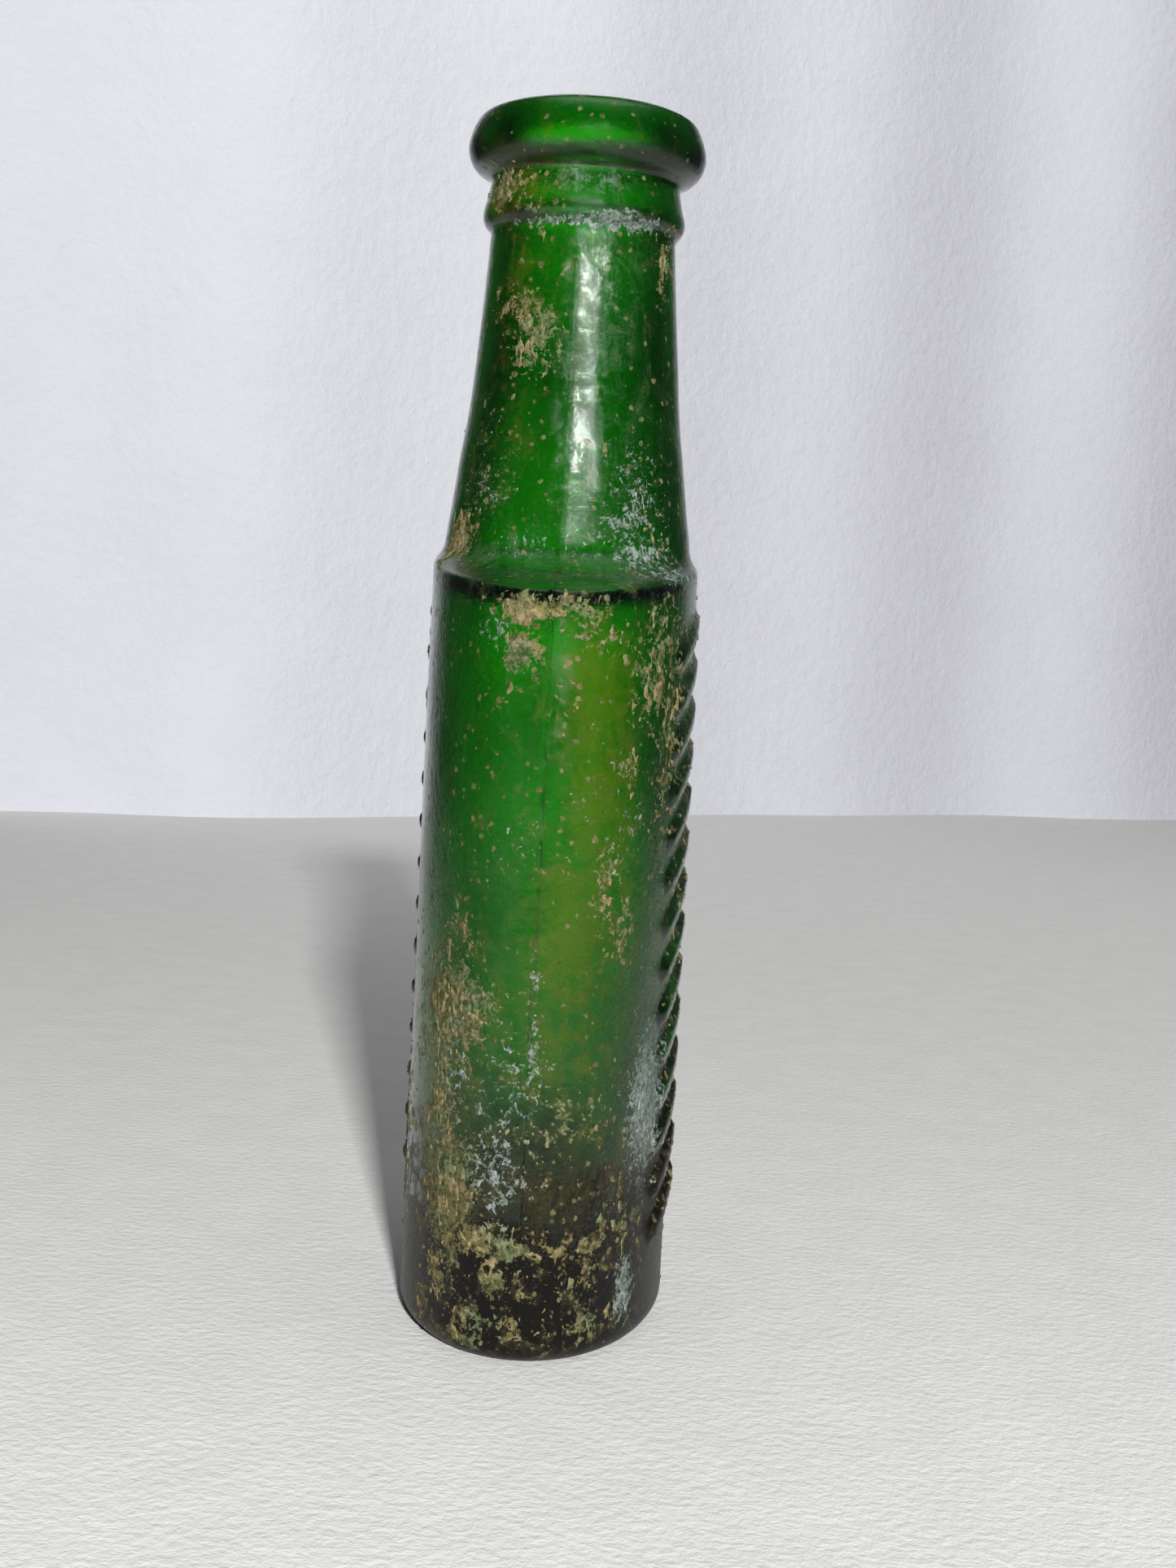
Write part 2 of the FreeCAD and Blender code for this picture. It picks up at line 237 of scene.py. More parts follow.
def outer_profile(reach):
    """Outside, from the middle of the base to the rim, where the oval wall stands reach from the axis."""
    foot = reach - HEEL_R
    dome_r = foot - BEARING_WIDTH
    r = np.linspace(0.0, 1.0, DOME_ROWS)
    dome = np.column_stack([r * dome_r, PUSH_UP * (1.0 - r ** 4)])
    flat_r = np.linspace(dome_r, foot, BEARING_ROWS + 1)[1:]
    flat = np.column_stack([flat_r, np.zeros(BEARING_ROWS)])
    heel = bend((foot, HEEL_R), HEEL_R, -90.0, 0.0, HEEL_ROWS + 1)[1:]
    body = wall_to_neck(OUTER_SLOPE, reach, HEEL_R, OUTER_EDGE_SOFTNESS, **OUTER_ROWS)
    return np.vstack([dome, flat, heel, body[1:], FINISH_LINE[1:]])


def inner_profile(reach):
    """Inside, from the rim down the bore and out to the wall, and in along the floor to its middle."""
    rim = bend((BORE_R + RIM_ROUND, HEIGHT - RIM_ROUND), RIM_ROUND, 90.0, 180.0, RIM_ROWS)
    bore_z = np.linspace(HEIGHT - RIM_ROUND, BORE[2][1], BORE_ROWS + 1)[1:]
    bore = np.column_stack([np.full(BORE_ROWS, BORE_R), bore_z])
    body = wall_to_neck(INNER_SLOPE, reach, BASE_THICK + FLOOR_R, INNER_EDGE_SOFTNESS, **INNER_ROWS)
    turn = bend((reach - FLOOR_R, BASE_THICK + FLOOR_R), FLOOR_R, 0.0, -90.0, TURN_ROWS + 1)[1:]
    floor_r = np.linspace(1.0, 0.0, FLOOR_ROWS + 1)[1:] * turn[-1, 0]
    across = np.column_stack([floor_r, np.full(FLOOR_ROWS, BASE_THICK)])
    return np.vstack([rim, bore, body[::-1][1:], turn, across])


def oval_reach(turn, half_thick, half_width):
    """Distance from the axis to an ellipse in the direction turn, measured from -Y towards +X."""
    return 1.0 / math.hypot(math.sin(turn) / half_thick, math.cos(turn) / half_width)


# Steps round the bottle that the columns of points are picked from.
FINE_TURNS = 7201
# How much closer together the columns of points stand on the relief and at the seams, and how far from them.
RELIEF_CROWD = 1.1
SEAM_CROWD = 4.0
STROKE_MARGIN = 0.5
SEAM_ZONE = 0.7


def directions(count):
    """Directions round the bottle, crowded where the relief and the seams are."""
    fine = np.linspace(0.0, 2 * math.pi, FINE_TURNS)
    reach = np.array([oval_reach(a, HALF_THICK, HALF_WIDTH) for a in fine])
    x, y = reach * np.sin(fine), -reach * np.cos(fine)
    step = np.hypot(np.diff(x), np.diff(y))
    mid_x, mid_y = 0.5 * (x[1:] + x[:-1]), 0.5 * (y[1:] + y[:-1])
    on_relief = np.abs(mid_y * np.sign(mid_x) + RELIEF_OFFSET) < STROKE_LENGTH / 2 + STROKE_MARGIN
    crowd = 1.0 + RELIEF_CROWD * on_relief + SEAM_CROWD * np.exp(-(mid_x / SEAM_ZONE) ** 2)
    along = np.concatenate([[0.0], np.cumsum(step * crowd)])
    return np.interp(np.linspace(0.0, along[-1], count, endpoint=False), along, fine)


SEED_STEPS = (17.3, 5.1, 9.7)


def seed_shift(seed):
    """Far-off place in the noise for each seed, so that no two noises are alike."""
    return Vector([seed * step for step in SEED_STEPS])


def ripple(points, size, seed):
    """Smooth noise, about -1 to 1, at each point; size is the width of a ripple."""
    shift = seed_shift(seed)
    return np.array([noise.noise(Vector(p) / size + shift) for p in points])


# How fast the finer layers of a fractal noise fade, and how many times finer each one is than the last.
FRACTAL_DECAY = 0.7
FRACTAL_GAP = 2.1


def rough(points, size, seed, octaves):
    """Noise with fine detail, about -1 to 1, at each point."""
    shift = seed_shift(seed)
    return np.array([noise.fractal(Vector(p) / size + shift, FRACTAL_DECAY, FRACTAL_GAP, octaves)
                     for p in points])


def clipped(values):
    """The values, held between 0 and 1."""
    return np.clip(values, 0.0, 1.0)


# How far a stroke's foot spreads, and how much of its height is left near the base and near the shoulder.
STROKE_SKIRT = 0.15
WORN_HEIGHTS = (20.0, 80.0)
WORN_SHARES = (1.0, 0.65)


def relief_lift(x, y, z):
    """Height of the moulded strokes above the wide faces at each point."""
    lift = np.zeros_like(y)
    half = STROKE_WIDTH / 2
    straight = (STROKE_LENGTH - STROKE_WIDTH) / 2
    u = y * np.sign(x) + RELIEF_OFFSET
    worn = np.interp(z, WORN_HEIGHTS, WORN_SHARES)
    for i in range(RELIEF_COUNT):
        dz = z - (RELIEF_FIRST_Z + i * RELIEF_PITCH)
        along = u * math.cos(STROKE_TILT) + dz * math.sin(STROKE_TILT)
        across = -u * math.sin(STROKE_TILT) + dz * math.cos(STROKE_TILT)
        gap = np.hypot(np.maximum(np.abs(along) - straight, 0.0), across)
        side = clipped(half + STROKE_SKIRT - gap)
        lift = np.maximum(lift, side * side * (3 - 2 * side) * worn)
    return lift * RELIEF_HEIGHT


# How far the dirt and painted shade reach past the strokes' ends, how steeply their column thickens from its
# sides and over what height from its ends, and how soon it ends up a stroke's side.
GRIME_SHADE_REACH = 1.0
GRIME_SHADE_STEEPNESS = 3.0
GRIME_SHADE_FADE = 2.0
GRIME_SHADE_CLIMB = 1.6


def relief_grime_and_shade(x, y, z):
    """How much dirt and painted shade darken the glass between and beside the strokes, 0 to 1, at each point.
    """
    u = (y * np.sign(x) + RELIEF_OFFSET) / (STROKE_LENGTH / 2 + GRIME_SHADE_REACH)
    low, high = RELIEF_FIRST_Z - RELIEF_PITCH, RELIEF_FIRST_Z + RELIEF_COUNT * RELIEF_PITCH
    column = clipped(GRIME_SHADE_STEEPNESS * (1.0 - np.abs(u)))
    column = column * clipped((z - low) / GRIME_SHADE_FADE) * clipped((high - z) / GRIME_SHADE_FADE)
    return column * clipped(1.0 - GRIME_SHADE_CLIMB * relief_lift(x, y, z) / RELIEF_HEIGHT)


def glass_grid(turns):
    """Rows of points over the outside and then the inside of the glass, one column for each direction."""
    outer, inner = [], []
    for turn in turns:
        out = np.array([math.sin(turn), -math.cos(turn)])
        outer_reach = oval_reach(turn, HALF_THICK, HALF_WIDTH)
        inner_reach = oval_reach(turn, HALF_THICK - WALL, HALF_WIDTH - WALL)
        for store, profile in ((outer, outer_profile(outer_reach)), (inner, inner_profile(inner_reach))):
            store.append(np.column_stack([profile[:, :1] * out, profile[:, 1]]))
    return np.array(outer).transpose(1, 0, 2), np.array(inner).transpose(1, 0, 2)


def outwards(grid):
    """Unit normals of a grid of rows that closes round the axis, pointing away from the glass's inside."""
    down = np.gradient(grid, axis=0)
    round_it = np.roll(grid, -1, axis=1) - np.roll(grid, 1, axis=1)
    normal = np.cross(round_it, down)
    length = np.linalg.norm(normal, axis=2, keepdims=True)
    return normal / np.maximum(length, NEAR_ZERO)


# (height, width, seed) of the waves in the moulded outside and in the blown inside.
OUTER_WAVES = [(0.10, 14.0, 1), (0.035, 4.0, 2)]
INNER_WAVES = [(0.30, 16.0, 5), (0.12, 6.0, 6)]
WAVE_SINK = 0.06
# Heights over which the outer waves begin, and depths under the rim over which the inner ones do.
FOOT_FADE = (1.0, 5.0)
BORE_FADE = (14.0, 26.0)
# Lengths over which a seam fades out at its lower and upper end, and its mean height, wear, width and seed.
SEAM_FADES = (3.0, 2.0)
SEAM_WEAR = (0.75, 0.35, 3.0, 3)


def waves(grid, table):
    """Sum of the waves in a table, at each point of a grid."""
    flat = grid.reshape(-1, 3)
    return sum(high * ripple(flat, size, seed).reshape(grid.shape[:2]) for high, size, seed in table)


def shape_outside(grid):
    """Adds the seams, the relief and the unevenness of old moulded glass to the outside."""
    x, y, z = grid[..., 0], grid[..., 1], grid[..., 2]
    free = clipped((z - FOOT_FADE[0]) / (FOOT_FADE[1] - FOOT_FADE[0]))
    mean, wear, size, seed = SEAM_WEAR
    on_seam = np.exp(-(x / SEAM_HALF_WIDTH) ** 2)
    on_seam = on_seam * clipped((SEAM_TOP_Z - z) / SEAM_FADES[1]) * clipped((z - HEEL_R) / SEAM_FADES[0])
    seam = SEAM_HEIGHT * (mean + waves(grid, [(wear, size, seed)])) * on_seam
    lift = (waves(grid, OUTER_WAVES) - WAVE_SINK) * free + seam + relief_lift(x, y, z)
    return grid + outwards(grid) * lift[..., None]


def shape_inside(grid):
    """The blown inside is wavier than the moulded outside."""
    depth = HEIGHT - grid[..., 2]
    free = clipped((depth - BORE_FADE[0]) / (BORE_FADE[1] - BORE_FADE[0]))
    return grid + outwards(grid) * (waves(grid, INNER_WAVES) * free)[..., None]


def mesh_object(name, points, faces):
    """A mesh piece from points in millimetres."""
    mesh = bpy.data.meshes.new(name)
    mesh.from_pydata([tuple(p * MM) for p in points], [], faces)
    mesh.validate()
    mesh.polygons.foreach_set("use_smooth", [True] * len(mesh.polygons))
    mesh.update()
    piece = bpy.data.objects.new(name, mesh)
    bpy.context.scene.collection.objects.link(piece)
    return piece


def closed_faces(rows, columns):
    """Faces of a skin of rows between two end points, which come after the grid's own points."""
    first, last = rows * columns, rows * columns + 1
    faces = []
    for c in range(columns):
        d = (c + 1) % columns
        faces.append((first, d, c))
        for r in range(rows - 1):
            faces.append((r * columns + c, r * columns + d, (r + 1) * columns + d, (r + 1) * columns + c))
        faces.append(((rows - 1) * columns + c, (rows - 1) * columns + d, last))
    return faces


def set_value(piece, name, values):
    """Stores one number for each point of a piece, for its material to read."""
    attribute = piece.data.attributes.new(name, "FLOAT", "POINT")
    attribute.data.foreach_set("value", np.asarray(values, np.float32))


def density(points, patches, spread):
    """How thickly a list of patches covers each point; spread widens them all."""
    turn = np.degrees(np.arctan2(points[:, 0], -points[:, 1]))
    reach = np.hypot(points[:, 0], points[:, 1])
    total = np.zeros(len(points))
    for angle, height, half_w, half_h, strength in patches:
        away = (turn - angle + 180.0) % 360.0 - 180.0
        u = np.radians(away) * reach / half_w
        v = (points[:, 2] - height) / half_h
        total = np.maximum(total, strength * np.exp(-0.5 * (u * u + v * v) / spread ** 2))
    return total


def bottle_glass(outer, inner):
    """The whole bottle as one piece of glass with its real wall."""
    rows = np.vstack([outer[1:], inner[:-1]])
    ends = np.array([outer[0].mean(axis=0), inner[-1].mean(axis=0)])
    points = np.vstack([rows.reshape(-1, 3), ends])
    piece = mesh_object("bottle_glass", points, closed_faces(len(rows), rows.shape[1]))
    outside = np.zeros(len(points))
    outside[:(len(outer) - 1) * outer.shape[1]] = 1.0
    outside[-2] = 1.0
    set_value(piece, "outside", outside)
    for name, patches, spread in (("soil", SOIL, FILM_SPREAD), ("lime", LIME, FILM_SPREAD),
                                  ("film", FILM, 1.0), ("dull_and_sheen", DULL_AND_SHEEN, 1.0)):
        set_value(piece, name, density(points, patches, spread) * outside)
    set_value(piece, "glass_darkening", density(points, GLASS_DARKENING, 1.0))
    set_value(piece, "grime_and_shade", relief_grime_and_shade(*points.T) * outside)
    return piece


def finer(grid, down, round_it):
    """The same closed grid with more rows and columns, by straight interpolation."""
    rows, columns = grid.shape[:2]
    wrapped = np.concatenate([grid, grid[:, :1]], axis=1)
    r = np.linspace(0, rows - 1, (rows - 1) * down + 1)
    c = np.arange(columns * round_it) / round_it
    r0 = np.minimum(r.astype(int), rows - 2)
    c0 = c.astype(int)
    fr = (r - r0)[:, None, None]
    fc = (c - c0)[None, :, None]
    corners = [wrapped[r0 + i][:, c0 + j] for i in (0, 1) for j in (0, 1)]
    top = corners[0] * (1 - fc) + corners[1] * fc
    low = corners[2] * (1 - fc) + corners[3] * fc
    return top * (1 - fr) + low * fr


AROUND = [(i, j) for i in (-1, 0, 1) for j in (-1, 0, 1) if i or j]


def shifted(values, i, j):
    """The value one step away in a grid that closes round the bottle."""
    moved = np.roll(values, (-i, -j), axis=(0, 1))
    if i > 0:
        moved[-1] = values[-1]
    if i < 0:
        moved[0] = values[0]
    return moved


def slid_to_edge(grid, level):
    """Points just outside a patch, moved to where its level crosses zero, so that its outline is smooth."""
    total, weight = np.zeros_like(grid), np.zeros(level.shape)
    for i, j in AROUND:
        near_level, near = shifted(level, i, j), shifted(grid, i, j)
        crosses = (level < 0) & (near_level > 0)
        step = np.where(crosses, level / np.minimum(level - near_level, -NEAR_ZERO), 0.0)
        total += np.where(crosses[..., None], grid + (near - grid) * step[..., None], 0.0)
        weight += crosses
    return np.where(weight[..., None] > 0, total / np.maximum(weight, 1)[..., None], grid)


# A flake's least thickness, how far its underside is sunk in the glass, and the level that it thickens over.
FLAKE_EDGE = 0.01
FLAKE_SUNK = 0.02
FLAKE_RISE = 0.10


def flakes(name, grid, level, thick):
    """Crust wherever level is above zero, as closed flakes that thin out towards their edges."""
    rows, columns = level.shape
    normal = outwards(grid)
    base = slid_to_edge(grid, level)
    rise = FLAKE_EDGE + thick * (1.0 - np.exp(-np.maximum(level, 0.0) / FLAKE_RISE))
    inside = (level > 0) | (np.roll(level, -1, axis=1) > 0)
    r, c = np.nonzero(inside[:-1] | inside[1:])
    d = (c + 1) % columns
    quads = np.column_stack([r * columns + c, r * columns + d, (r + 1) * columns + d, (r + 1) * columns + c])
    used, place = np.unique(quads, return_inverse=True)
    place = place.reshape(quads.shape)
    count = len(used)
    flat_base, flat_normal = base.reshape(-1, 3)[used], normal.reshape(-1, 3)[used]
    top = flat_base + flat_normal * rise.reshape(-1)[used][:, None]
    sunk = flat_base - flat_normal * FLAKE_SUNK
    edges = np.vstack([place[:, [k, (k + 1) % 4]] for k in range(4)])
    pairs = {tuple(e) for e in edges.tolist()}
    rim = [(a, b) for a, b in edges.tolist() if (b, a) not in pairs]
    faces = place[:, ::-1].tolist() + (place + count).tolist()
    faces += [(a, b, b + count, a + count) for a, b in rim]
    return mesh_object(name, np.vstack([top, sunk]), faces)


# Weights of the patch and of the noise in a crust's level, the sum that a crust starts at, and the cover
# below which there is none.
COVER_WEIGHT = 0.8
WANDER_WEIGHT = 1.1
CRUST_START = 0.86
LEAST_COVER = 0.12
# Middle and steepness of the thin lines of a lacy crust, and how much wider they wander than the crust.
LINE_LEVEL = 0.55
LINE_STEEPNESS = 2.2
LINE_SPACING = 1.6
CRUST_OCTAVES, LINE_OCTAVES = 5, 3


def deposit_level(points, patches, size, seed, lacy):
    """How far each point is inside a crust; lacy crusts follow thin winding lines."""
    cover = density(points, patches, 1.0)
    level = np.full(len(points), -1.0)
    busy = cover > LEAST_COVER
    near = points[busy]
    wander = rough(near, size, seed, CRUST_OCTAVES)
    lines = LINE_LEVEL - LINE_STEEPNESS * np.abs(rough(near, size * LINE_SPACING, seed + 1, LINE_OCTAVES))
    level[busy] = cover[busy] * COVER_WEIGHT + wander * (1 - lacy) * WANDER_WEIGHT + lines * lacy
    level[busy] -= CRUST_START
    return level


# ---------------------------------------------------------------- materials


def new_material(name):
    material = bpy.data.materials.new(name)
    material.use_nodes = True
    material.node_tree.nodes.clear()
    return material, material.node_tree


def node(tree, kind, inputs=None, **settings):
    """One shader node; inputs are socket names with a value or another node's output."""
    made = tree.nodes.new(kind)
    for key, value in settings.items():
        setattr(made, key, value)
    for key, value in (inputs or {}).items():
        if isinstance(value, bpy.types.NodeSocket):
            tree.links.new(value, made.inputs[key])
        else:
            made.inputs[key].default_value = value
    return made


def math_node(tree, operation, a, b):
    return node(tree, "ShaderNodeMath", {0: a, 1: b}, operation=operation).outputs[0]


def ramp(tree, value, low, high):
    """0 below low, 1 above high and a soft step between."""
    made = node(tree, "ShaderNodeMapRange", {"Value": value, "From Min": low, "From Max": high},
                interpolation_type="SMOOTHSTEP")
    return made.outputs["Result"]


def attribute(tree, name):
    return node(tree, "ShaderNodeAttribute", attribute_name=name).outputs["Fac"]


def noise_node(tree, where, size, detail, roughness, distortion=0.0):
    """Noise with features about size millimetres wide."""
    made = node(tree, "ShaderNodeTexNoise", {"Vector": where, "Scale": 1.0 / (size * MM), "Detail": detail,
                                             "Roughness": roughness, "Distortion": distortion})
    return made.outputs["Fac"]


def mix_colour(tree, factor, first, second, blend="MIX"):
    """Two colours mixed; each is (red, green, blue) or another node's output."""
    first, second = (c if isinstance(c, bpy.types.NodeSocket) else c + (1.0,) for c in (first, second))
    made = node(tree, "ShaderNodeMix", {0: factor, 6: first, 7: second}, data_type="RGBA", blend_type=blend)
    return made.outputs[2]


def principled(tree, inputs):
    return node(tree, "ShaderNodeBsdfPrincipled", inputs).outputs[0]


def bump_node(tree, height, strength, depth, **more):
    """A bumped normal; depth in metres."""
    return node(tree, "ShaderNodeBump", {"Height": height, "Strength": strength, "Distance": depth,
                                         **more}).outputs[0]


def weigh(tree, *terms):
    """Sum of (value, weight) pairs."""
    total = None
    for value, weight in terms:
        part = math_node(tree, "MULTIPLY", value, weight)
        total = part if total is None else math_node(tree, "ADD", total, part)
    return total


GLASS_IOR = 1.52
GLASS_ROUGHNESS = 0.015
# Colour and strength per metre of what the green glass lets through.
GLASS_COLOUR = (0.38, 0.878, 0.0, 1.0)
GLASS_DENSITY = 1180.0
# Heights in metres between which the thicker, darker glass of the neck begins and ends.
NECK_DARK_FROM = (0.080, 0.090)
NECK_DARK_TO = (0.116, 0.122)
# What each crossing of the surface takes from the light.
WHITE = (1.0, 1.0, 1.0)
NECK_TINT = (0.74, 0.80, 0.85)
GLASS_DARKENING_TINT = (0.58, 0.70, 0.78)
MOTTLE_TINT = (0.76, 0.78, 0.55)

# Size in mm, detail, roughness and distortion of the noises that the marks on the glass are made of.
NOISES = {"broad": (6.0, 4.0, 0.6), "coarse": (2.4, 8.0, 0.70, 0.6), "fine": (0.8, 6.0, 0.72, 0.6),
          "dust": (0.3, 3.0, 0.6)}
STREAK_NOISE = (1.2, 4.0, 0.6)
STREAK_STRETCH = (1.0, 1.0, 0.18)
# Each mark: how much every noise, attribute or height adds to its level, and the levels at which it begins
# and is full. The height is in metres, so its weights are large.
MARKS = {
    "soil": ({"coarse": 0.50, "fine": 0.45, "dust": 0.20, "soil": 0.20, "broad": 0.12, "height": -0.5},
             (0.735, 0.775)),
    "lime": ({"fine": 0.65, "coarse": 0.25, "dust": 0.20, "lime": 0.17, "broad": 0.10}, (0.725, 0.80)),
    "film": ({"film": 0.9, "coarse": 3.2, "streaks": 0.6, "dust": 0.5}, (2.20, 3.20)),
    "dull_and_sheen": ({"coarse": 0.7, "dust": 0.4, "streaks": 0.3}, (0.62, 0.92)),
    # The stain's weight from the relief column paints shade into the gaps between the strokes, besides the
    # dirt there.
    "stain": ({"height": -75.0, "coarse": 3.6, "fine": 1.4, "broad": 1.6, "grime_and_shade": 1.3}, (1.62, 2.10)),
    "mottle": ({"coarse": 0.6, "fine": 0.4, "dust": 0.3}, (0.60, 0.82)),
}
# Round flecks of soil: cells per metre, the noise that shakes them and by how many metres, what makes one
# large, and the levels of its edge.
FLECK_CELLS = 860.0
FLECK_WANDER = {"Scale": 2200.0, "Detail": 2.0}
FLECK_SHIFT = 0.00045
FLECK_SIZE = {"chance": 0.34, "soil": 0.12, "coarse": 0.7}
FLECK_EDGE = (0.37, 0.43)
# How much of the colour a full fleck and a full patch of soil show.
FLECK_SHARE = 0.75
SOIL_SHARE = 0.85

# Each coat on the glass, from the lowest up: its mark, how much of it a full mark shows, its roughness and
# its shine.
COATS = [("dull_and_sheen", 0.42, 0.5, 0.3), ("film", 0.30, 0.8, 0.05), ("stain", 0.93, 0.40, 0.15),
         ("soiled", 1.0, 0.9, 0.1), ("lime", 0.70, 0.85, 0.2)]
# The haze coat is dulled glass, and on the narrow strips down the neck and round the lip's waist it is a
# painted highlight and sheen.
HAZE_AND_SHEEN_COLOUR = (0.20, 0.29, 0.22, 1.0)
FILM_COLOUR = (0.085, 0.080, 0.002, 1.0)
# Dark and light tone of the other coats, and the levels of noise between which one turns into the other.
TAR_TONES = ((0.004, 0.0036, 0.0028), (0.024, 0.019, 0.010))
EARTH_TONES = ((0.040, 0.036, 0.014), (0.17, 0.145, 0.065))
OLIVE_TONES = ((0.026, 0.034, 0.012), (0.13, 0.155, 0.075))
LIME_TONES = ((0.07, 0.10, 0.08), (0.21, 0.25, 0.22))
TAR_SPAN = (0.46, 0.62)
EARTH_SPAN = (0.36, 0.68)
OLIVE_SPAN = (0.42, 0.62)
LIME_SPAN = (0.35, 0.65)
# Extra roughness where the glass is marked.
MARK_ROUGHNESS = {"dull_and_sheen": 0.10, "film": 0.05, "stain": 0.15}
# Strength and depth in metres of the pits and of the wear.
PITS = (0.15, 0.0002)
WEAR = (0.22, 0.0003)


def glass_values(tree, where):
    """The noises, the attributes of the mesh and the height, by name."""
    values = {name: noise_node(tree, where, *settings) for name, settings in NOISES.items()}
    stretched = node(tree, "ShaderNodeMapping", {"Vector": where, "Scale": STREAK_STRETCH}).outputs[0]
    values["streaks"] = noise_node(tree, stretched, *STREAK_NOISE)
    values["height"] = node(tree, "ShaderNodeSeparateXYZ", {0: where}).outputs["Z"]
    for name in ("outside", "soil", "lime", "film", "dull_and_sheen", "glass_darkening", "grime_and_shade"):
        values[name] = attribute(tree, name)
    return values


def named_sum(tree, values, weights):
    return weigh(tree, *((values[name], weight) for name, weight in weights.items()))


def glass_marks(tree, where, values):
    """How much of each mark there is, by name; soiled is the soil with its flecks."""
    marks = {name: ramp(tree, named_sum(tree, values, weights), *edge)
             for name, (weights, edge) in MARKS.items()}
    marks["dull_and_sheen"] = math_node(tree, "MULTIPLY", values["dull_and_sheen"], marks["dull_and_sheen"])
    marks["stain"] = math_node(tree, "MULTIPLY", marks["stain"], values["outside"])
    flecks = math_node(tree, "MULTIPLY", soil_flecks(tree, where, values), FLECK_SHARE)
    soil = math_node(tree, "MULTIPLY", marks["soil"], SOIL_SHARE)
    marks["soiled"] = math_node(tree, "MAXIMUM", soil, flecks)
    return marks


def soil_flecks(tree, where, values):
    """Round flecks of soil on the outside, of many sizes."""
    wander = node(tree, "ShaderNodeTexNoise", {"Vector": where, **FLECK_WANDER}).outputs["Color"]
    shift = node(tree, "ShaderNodeVectorMath", {0: wander, "Scale": FLECK_SHIFT}, operation="SCALE")
    moved = node(tree, "ShaderNodeVectorMath", {0: where, 1: shift.outputs[0]}, operation="ADD")
    flecks = node(tree, "ShaderNodeTexVoronoi", {"Vector": moved.outputs[0], "Scale": FLECK_CELLS})
    chance = node(tree, "ShaderNodeSeparateColor", {0: flecks.outputs["Color"]}).outputs["Red"]
    size = named_sum(tree, {"chance": chance, **values}, FLECK_SIZE)
    fleck = ramp(tree, math_node(tree, "SUBTRACT", size, flecks.outputs["Distance"]), *FLECK_EDGE)
    return math_node(tree, "MULTIPLY", fleck, values["outside"])


def glass_tint(tree, values, marks):
    """What the neck's thicker glass, the darker patches and mottled dirt take from the light."""
    starts, stops = (ramp(tree, values["height"], *span) for span in (NECK_DARK_FROM, NECK_DARK_TO))
    tint = mix_colour(tree, math_node(tree, "SUBTRACT", starts, stops), WHITE, NECK_TINT)
    for factor, shade in ((values["glass_darkening"], GLASS_DARKENING_TINT), (marks["mottle"], MOTTLE_TINT)):
        tint = mix_colour(tree, factor, tint, shade, "MULTIPLY")
    return tint


def toned(tree, value, span, tones):
    """The first tone where value is below span, the second above it."""
    return mix_colour(tree, ramp(tree, value, *span), *tones)


def coat_colours(tree, values):
    """The colour of each coat, by the name of its mark."""
    soils = [toned(tree, values["fine"], EARTH_SPAN, tones) for tones in (EARTH_TONES, OLIVE_TONES)]
    return {
        "dull_and_sheen": HAZE_AND_SHEEN_COLOUR,
        "film": FILM_COLOUR,
        "stain": toned(tree, values["coarse"], TAR_SPAN, TAR_TONES),
        "soiled": toned(tree, values["broad"], OLIVE_SPAN, soils),
        "lime": toned(tree, values["dust"], LIME_SPAN, LIME_TONES),
    }


def glass_material():
    """Dark green glass, dulled and stained by the ground, with thin films of soil and lime on it, and a haze
    coat that paints highlight and sheen onto the neck.
    """
    material, tree = new_material("green_glass")
    where = node(tree, "ShaderNodeTexCoord").outputs["Object"]
    values = glass_values(tree, where)
    marks = glass_marks(tree, where, values)
    colours = coat_colours(tree, values)
    normal = bump_node(tree, values["fine"], *WEAR, Normal=bump_node(tree, values["dust"], *PITS))
    roughness = math_node(tree, "ADD", named_sum(tree, marks, MARK_ROUGHNESS), GLASS_ROUGHNESS)
    surface = principled(tree, {
        "Base Color": glass_tint(tree, values, marks), "IOR": GLASS_IOR, "Transmission Weight": 1.0,
        "Roughness": roughness, "Normal": normal})
    for name, most, coat_roughness, shine in COATS:
        coat = principled(tree, {
            "Base Color": colours[name], "Roughness": coat_roughness, "Specular IOR Level": shine,
            "Normal": normal})
        amount = math_node(tree, "MULTIPLY", marks[name], most)
        surface = node(tree, "ShaderNodeMixShader", {0: amount, 1: surface, 2: coat}).outputs[0]
    depth = node(tree, "ShaderNodeVolumeAbsorption", {"Color": GLASS_COLOUR, "Density": GLASS_DENSITY})
    node(tree, "ShaderNodeOutputMaterial", {"Surface": surface, "Volume": depth.outputs[0]})
    return material


# Size in mm, detail and roughness of the patches and the grains of a crust at size 1, and the levels of noise
# between which its tone changes.
CRUST_PATCHES = (3.0, 6.0, 0.65)
CRUST_GRAINS = (0.5, 6.0, 0.7)
CRUST_PATCH_SPAN = (0.44, 0.60)
CRUST_GRAIN_SPAN = (0.34, 0.66)
# How dark the dark grains are, the crust's shine, and the strength and depth in metres of its bumps.
CRUST_SHADE = 0.30
CRUST_SHINE = 0.2
CRUST_BUMPS = (0.6, 0.08 * MM)
# Levels of noise between which roughness goes from 0 to 1; the grain is mostly above them, so it is matt.
MATT_SPAN = (-0.4, 0.3)


def scaled_noise(tree, where, scale, settings):
    size, detail, roughness = settings
    return noise_node(tree, where, size * scale, detail, roughness)


